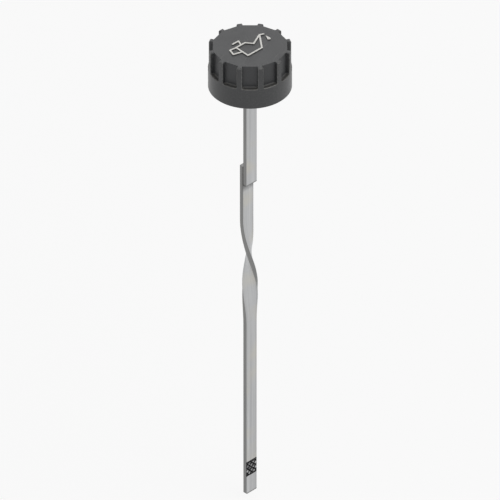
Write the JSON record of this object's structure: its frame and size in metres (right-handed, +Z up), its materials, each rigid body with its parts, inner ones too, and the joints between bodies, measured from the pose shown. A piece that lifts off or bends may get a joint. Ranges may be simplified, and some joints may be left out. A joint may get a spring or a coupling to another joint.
{
  "type": "oil dipstick",
  "caption": "Screw-on filler cap with grip pockets and a raised oil-can sign, carrying a twisted flat steel gauge strip with a cross-hatched level zone near its tip.",
  "frame": {"origin": "centre of the seal ring's underside, where the end of the filler neck seats, on the cap's axis", "axes": "+Z up along the cap's axis towards the cap's top; the strip hangs down along -Z. X is along the strip's width; the face with the level zone looks along -Y, and the sign on the cap's top is upright when it is seen from -Y"},
  "size_m": [0.044, 0.044, 0.2875],
  "materials": {
    "cap_plastic": "moulded glass-filled nylon, fine matt texture",
    "seal_rubber": "matt nitrile rubber",
    "bar_steel": "rolled flat steel, bright zinc plated",
    "strip_steel": "rolled flat steel, bright zinc plated, dark in the grooves of the level zone",
    "pin_steel": "oiled spring steel"
  },
  "bodies": {
    "root": {"cap": "cap_plastic", "seal_ring": "seal_rubber", "hanger_bar": "bar_steel", "gauge_strip": "strip_steel", "roll_pin": "pin_steel"}
  },
  "joints": []
}
